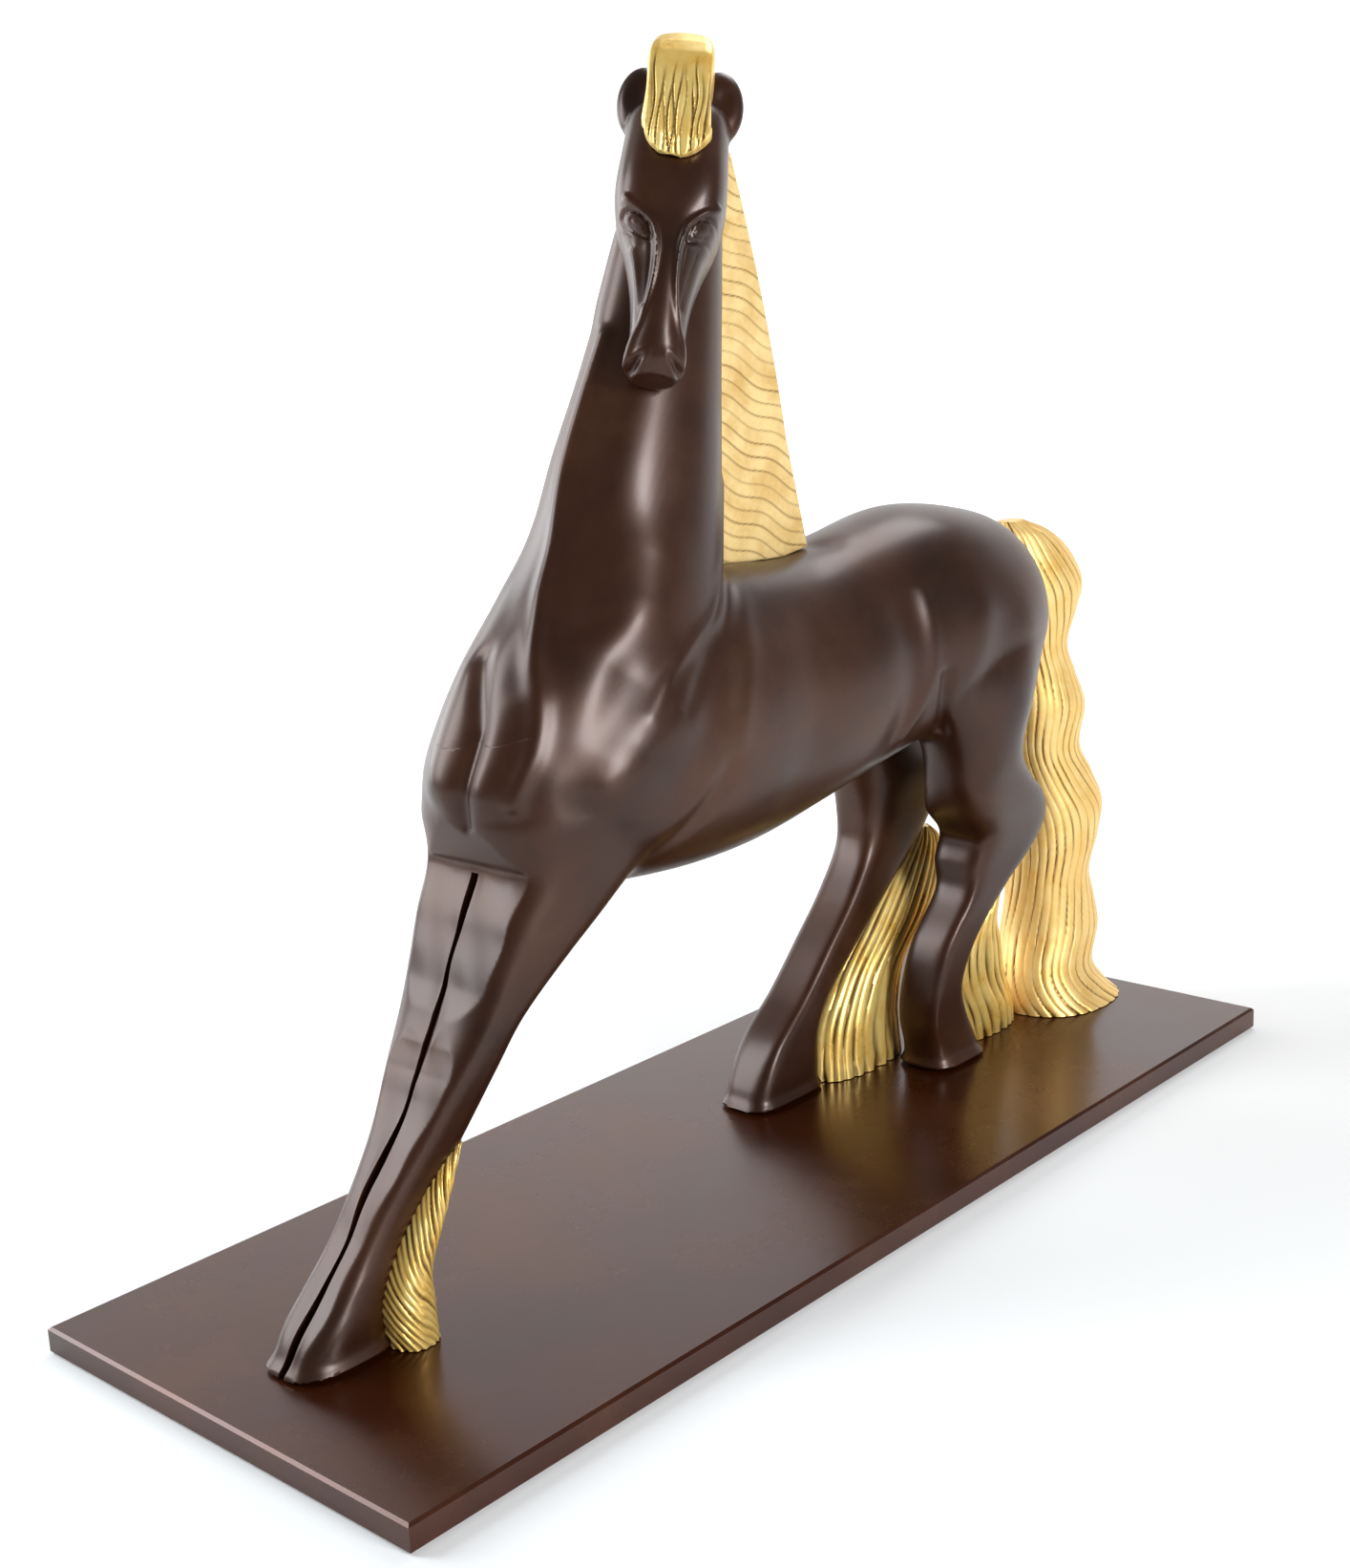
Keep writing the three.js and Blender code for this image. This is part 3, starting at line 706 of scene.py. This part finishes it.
def buildForelock():
    lock = fuse(copyNode("forelock", "forelock"), forelock["grain"])
    local = headPlaces(readPoints(lock))
    # the flat lock is narrowed and rounded at the top, and its tip becomes a round tongue
    across, down = local[:, 1], local[:, 2]
    half = forelock["width"] / 2
    down = down + forelock["lean"] * across * step(down, *forelock["leanOver"])
    tipStart, tipEnd = forelock["tip"]
    t = np.clip((down - tipStart) / (tipEnd - tipStart), 0, forelock["blunt"])
    tongue = np.sqrt(1 - t ** 2) / (1 - forelock["pinch"] * t)
    below = down - forelock["top"]
    nearTop = 1 - np.clip(below / forelock["squeezeOver"], 0, 1)
    narrow = 1 - forelock["squeeze"] * nearTop ** forelock["squeezeBend"]
    crown = forelock["round"] * (across / half) ** 2 * (1 - np.clip(below / forelock["roundOver"], 0, 1))
    waver = forelock["waver"] * np.sin(down / forelock["waverEvery"])
    local[:, 1] = across * tongue * narrow + waver * np.sign(across) * np.abs(across / half) ** 3
    local[:, 2] = down + crown
    points = headAxes[0] + mm * (local @ np.array(headAxes[1:]))
    movePoints(lock, points)
    normals = readNormals(lock)
    draw = np.random.default_rng(31)
    cuts = np.linspace(-0.5, 0.5, forelock["lanes"] + 2)[1:-1] * forelock["width"]
    cuts = cuts + draw.uniform(-forelock["scatter"], forelock["scatter"], len(cuts))
    groove = np.zeros(len(points))
    for cut in cuts:
        every = draw.uniform(*forelock["swayEvery"])
        path = cut + forelock["sway"] * np.sin(local[:, 2] / every + draw.uniform(0, 6))
        begin = forelock["smoothAbove"] + draw.uniform(*forelock["beginAbout"])
        deep = step(local[:, 2], begin, begin + forelock["beginOver"]) * draw.uniform(*forelock["weight"])
        groove = np.maximum(groove, np.exp(-((local[:, 1] - path) / forelock["line"]) ** 2) * deep)
    groove *= step(normals @ headAxes[1], *forelock["facing"])
    movePoints(lock, points - normals * (forelock["deep"] * mm * groove)[:, None])
    paint(lock, "carve", groove)
    return lock


gold["maneFin"] = buildMane()
gold["forelock"] = buildForelock()
print("mane and forelock modelled")


# ---- materials

def toLinear(code):
    parts = [int(code[i:i + 2], 16) / 255 for i in (1, 3, 5)]
    return [c / 12.92 if c <= 0.04045 else ((c + 0.055) / 1.055) ** 2.4 for c in parts] + [1.0]


def addNode(tree, kind, settings=None, links=None):
    node = tree.nodes.new(kind)
    for key, value in (settings or {}).items():
        if isinstance(key, int) or key in node.inputs:
            node.inputs[key].default_value = value
        else:
            setattr(node, key, value)
    for key, source in (links or {}).items():
        tree.links.new(source, node.inputs[key])
    return node


def stops(ramp, *pairs):
    # sets a colour ramp's stops: place and colour
    while len(ramp.color_ramp.elements) < len(pairs):
        ramp.color_ramp.elements.new(0.5)
    for element, (place, code) in zip(ramp.color_ramp.elements, pairs):
        element.position = place
        element.color = toLinear(code)


def newMaterial(name):
    material = bpy.data.materials.new(name)
    material.use_nodes = True
    tree = material.node_tree
    tree.nodes.clear()
    return material, tree


def perMetre(size):
    # texture scale for a pattern whose marks are this many mm apart
    return 1 / (size * mm)


def addSheen(tree, gloss, cloud):
    # the roughness runs between two values as the clouds do
    return addNode(tree, "ShaderNodeMapRange",
                   {"From Min": 0.3, "From Max": 0.7, "To Min": gloss[0], "To Max": gloss[1]},
                   {"Value": cloud.outputs["Fac"]})


def patinatedBronze(name, look):
    # brown bronze, a little cloudy, with a fine grain and a thin clear coat
    material, tree = newMaterial(name)
    place = addNode(tree, "ShaderNodeTexCoord")
    cloud = addNode(tree, "ShaderNodeTexNoise", look["cloud"], {"Vector": place.outputs["Object"]})
    grain = addNode(tree, "ShaderNodeTexNoise", look["grain"], {"Vector": place.outputs["Object"]})
    colour = addNode(tree, "ShaderNodeValToRGB", None, {"Fac": cloud.outputs["Fac"]})
    stops(colour, *look["browns"])
    sheen = addSheen(tree, look["gloss"], cloud)
    bump = addNode(tree, "ShaderNodeBump", look["bump"], {"Height": grain.outputs["Fac"]})
    shader = addNode(tree, "ShaderNodeBsdfPrincipled", {"Metallic": 0.4, **look["coat"]},
                     {"Base Color": colour.outputs["Color"], "Roughness": sheen.outputs["Result"],
                      "Normal": bump.outputs["Normal"]})
    addNode(tree, "ShaderNodeOutputMaterial", None, {"Surface": shader.outputs["BSDF"]})
    return material


def leafGold(name, look):
    # gold leaf over the cut strands: warm metal, dark where the tool went in
    material, tree = newMaterial(name)
    place = addNode(tree, "ShaderNodeTexCoord")
    carve = addNode(tree, "ShaderNodeAttribute", {"attribute_name": "carve"})
    cloud = addNode(tree, "ShaderNodeTexNoise", {"Scale": perMetre(9), "Detail": 6.0, "Roughness": 0.65},
                    {"Vector": place.outputs["Object"]})
    crinkle = addNode(tree, "ShaderNodeTexNoise", {"Scale": perMetre(2), "Detail": 5.0, "Roughness": 0.6},
                      {"Vector": place.outputs["Object"]})
    colour = addNode(tree, "ShaderNodeValToRGB", None, {"Fac": cloud.outputs["Fac"]})
    stops(colour, (0.32, look["deep"]), (0.6, look["bright"]))
    groove = addNode(tree, "ShaderNodeMix", {"data_type": "RGBA", 7: toLinear(look["cut"])},
                     {0: carve.outputs["Fac"], 6: colour.outputs["Color"]})
    sheen = addSheen(tree, look["gloss"], cloud)
    bump = addNode(tree, "ShaderNodeBump", {"Strength": 0.5, "Distance": 0.12 * mm},
                   {"Height": crinkle.outputs["Fac"]})
    shader = addNode(tree, "ShaderNodeBsdfPrincipled", {"Metallic": look["metal"]},
                     {"Base Color": groove.outputs[2], "Roughness": sheen.outputs["Result"],
                      "Normal": bump.outputs["Normal"]})
    addNode(tree, "ShaderNodeOutputMaterial", None, {"Surface": shader.outputs["BSDF"]})
    return material


def zincSteel():
    # plated screws: pale grey, softly mottled
    material, tree = newMaterial("zincSteel")
    place = addNode(tree, "ShaderNodeTexCoord")
    cloud = addNode(tree, "ShaderNodeTexNoise", {"Scale": perMetre(1.5), "Detail": 4.0},
                    {"Vector": place.outputs["Object"]})
    colour = addNode(tree, "ShaderNodeValToRGB", None, {"Fac": cloud.outputs["Fac"]})
    stops(colour, (0.35, "#9a9da0"), (0.65, "#b9bcbd"))
    shader = addNode(tree, "ShaderNodeBsdfPrincipled", {"Metallic": 1.0, "Roughness": 0.38},
                     {"Base Color": colour.outputs["Color"]})
    addNode(tree, "ShaderNodeOutputMaterial", None, {"Surface": shader.outputs["BSDF"]})
    return material


def dress(piece, material):
    piece.data.materials.clear()
    piece.data.materials.append(material)


# the casting is chocolate brown under dark wax, and the plate is warmer, hand-rubbed and glossier
bronzeFinish = patinatedBronze("waxedBronze", {
    "cloud": {"Scale": perMetre(45), "Detail": 5.0, "Roughness": 0.6},
    "grain": {"Scale": perMetre(1.6), "Detail": 4.0, "Roughness": 0.7},
    "browns": [(0.3, "#2c1304"), (0.52, "#3e1e09"), (0.72, "#4e2d16")], "gloss": (0.34, 0.46),
    "bump": {"Strength": 0.35, "Distance": 0.06 * mm},
    "coat": {"Coat Weight": 0.25, "Coat Roughness": 0.24},
})
plateFinish = patinatedBronze("platePatina", {
    "cloud": {"Scale": perMetre(60), "Detail": 6.0, "Roughness": 0.62},
    "grain": {"Scale": perMetre(2.2), "Detail": 4.0, "Roughness": 0.65},
    "browns": [(0.3, "#331101"), (0.5, "#431b06"), (0.72, "#522a11")], "gloss": (0.2, 0.32),
    "bump": {"Strength": 0.3, "Distance": 0.05 * mm},
    "coat": {"Coat Weight": 0.2, "Coat Roughness": 0.18},
})
brightGold = leafGold("brightGoldLeaf", {"bright": "#ffdd86", "deep": "#f6c35c", "cut": "#5a380e",
                                         "gloss": (0.26, 0.38), "metal": 0.45})
tailGold = leafGold("warmGoldLeaf", {"bright": "#ffd98c", "deep": "#f8c468", "cut": "#7a5218",
                                     "gloss": (0.36, 0.5), "metal": 0.45})
maneGold = leafGold("matteGoldLeaf", {"bright": "#f8d896", "deep": "#e6bb70", "cut": "#8a622a",
                                      "gloss": (0.45, 0.58), "metal": 0.4})
steelFinish = zincSteel()

stoodFor = {name: node for name, (node, cuts) in bronzePieces.items()}
stoodFor["headCasting"] = "head"
for name, piece in bronze.items():
    only(piece)
    bpy.ops.object.shade_smooth_by_angle(angle=math.radians(50))
    dress(piece, bronzeFinish)
    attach(piece, "root")
    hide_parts(stoodFor[name])

goldFor = {
    "tailHair": ("tail", tailGold),
    "leftForeFeather": ("left_fore_feather", brightGold),
    "rightForeFeather": ("right_fore_feather", brightGold),
    "leftHindFeather": ("left_hind_feather", brightGold),
    "rightHindFeather": ("right_hind_feather", brightGold),
    "maneFin": ("mane", maneGold),
    "forelock": ("forelock", brightGold),
}
for name, piece in gold.items():
    node, finish = goldFor[name]
    only(piece)
    bpy.ops.object.shade_smooth_by_angle(angle=math.radians(60))
    dress(piece, finish)
    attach(piece, "root")
    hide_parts(node)

plate = frame["nodes"]["base_plate"]
dress(plate, plateFinish)
for node in frame["nodes"]:
    if node.endswith("_screw"):
        dress(frame["nodes"][node], steelFinish)
print("materials on")


# ---- floor, light and camera

studio = {
    "wide": 8.0, "deep": 6.0, "front": 2.5, "bendAt": 1.3, "bend": 0.8, "back": (-0.737, -0.676),
    # the paper glows more the further back it lies
    "paper": "#e6e6e6", "glowFrom": 0.1, "glowTo": 1.5, "glow": (0.18, 0.76),
    "world": 0.19, "worldColour": (0.97, 0.99, 1.0, 1), "aim": (0, 0, 0.17),
}
# name, the way it stands from the horse, how far off, width, height, power, colour
softboxes = [
    ("keySoftbox", (0.594, -0.656, 0.474), 1.2, 0.45, 0.9, 12, (0.88, 0.95, 1.0)),
    ("edgeSoftbox", (0.1, -0.97, 0.22), 1.4, 0.8, 0.8, 7, (0.9, 0.96, 1.0)),
    ("sideSoftbox", (0.05, 0.95, 0.3), 1.4, 0.34, 0.5, 16, (0.94, 0.98, 1.0)),
    ("topSoftbox", (-0.6, -0.15, 0.8), 1.5, 0.6, 0.6, 7, (0.96, 0.98, 1.0)),
]


def buildStudio():
    # a sheet of pale paper that lies flat under the horse and sweeps up behind it
    bpy.ops.object.select_all(action="DESELECT")
    bpy.ops.mesh.primitive_grid_add(x_subdivisions=2, y_subdivisions=120, size=2)
    paper = bpy.context.object
    paper.name = "studioPaper"
    flat = readPoints(paper)
    back = np.array([*studio["back"], 0])
    side = np.array([back[1], -back[0], 0])
    run = flat[:, 1] * studio["deep"] / 2 + studio["deep"] / 2 - studio["front"]
    quarter = studio["bend"] * math.pi / 2
    turn = np.clip((run - studio["bendAt"]) / studio["bend"], 0, math.pi / 2)
    out = np.minimum(run, studio["bendAt"]) + studio["bend"] * np.sin(turn)
    up = studio["bend"] * (1 - np.cos(turn)) + np.maximum(run - studio["bendAt"] - quarter, 0)
    movePoints(paper, np.outer(out, back) + np.outer(flat[:, 0] * studio["wide"] / 2, side)
               + np.outer(up, (0, 0, 1)))
    only(paper)
    bpy.ops.object.shade_smooth()
    material, tree = newMaterial("palePaper")
    place = addNode(tree, "ShaderNodeTexCoord")
    away = addNode(tree, "ShaderNodeVectorMath", {"operation": "DOT_PRODUCT", 1: back},
                   {0: place.outputs["Object"]})
    glow = addNode(tree, "ShaderNodeMapRange",
                   {"From Min": studio["glowFrom"], "From Max": studio["glowTo"],
                    "To Min": studio["glow"][0], "To Max": studio["glow"][1]},
                   {"Value": away.outputs["Value"]})
    shader = addNode(tree, "ShaderNodeBsdfPrincipled",
                     {"Base Color": toLinear(studio["paper"]), "Roughness": 0.9,
                      "Emission Color": (1, 1, 1, 1)},
                     {"Emission Strength": glow.outputs["Result"]})
    addNode(tree, "ShaderNodeOutputMaterial", None, {"Surface": shader.outputs["BSDF"]})
    dress(paper, material)
    world = bpy.data.worlds.new("softRoom")
    bpy.context.scene.world = world
    world.use_nodes = True
    background = world.node_tree.nodes["Background"]
    background.inputs["Color"].default_value = studio["worldColour"]
    background.inputs["Strength"].default_value = studio["world"]


def addSoftbox(name, way, away, width, height, power, colour):
    # a flat light that looks at the middle of the horse
    way = Vector(way).normalized()
    bpy.ops.object.light_add(type="AREA", location=Vector(studio["aim"]) + way * away)
    light = bpy.context.object
    light.name = name
    light.rotation_euler = way.to_track_quat("Z", "Y").to_euler()
    light.data.shape = "RECTANGLE"
    light.data.size = width
    light.data.size_y = height
    light.data.energy = power
    light.data.color = colour


def addCamera():
    bpy.ops.object.camera_add(location=(0.465106, 0.406293, 0.280824),
                              rotation=[math.radians(a) for a in (76.0711, 2.6252, 131.8845)])
    camera = bpy.context.object
    camera.data.lens = 47.565
    camera.data.sensor_width = 36
    camera.data.clip_start = 0.01
    bpy.context.scene.camera = camera


buildStudio()
for softbox in softboxes:
    addSoftbox(*softbox)
addCamera()
bpy.context.scene.view_settings.view_transform = "Standard"
print("studio set")
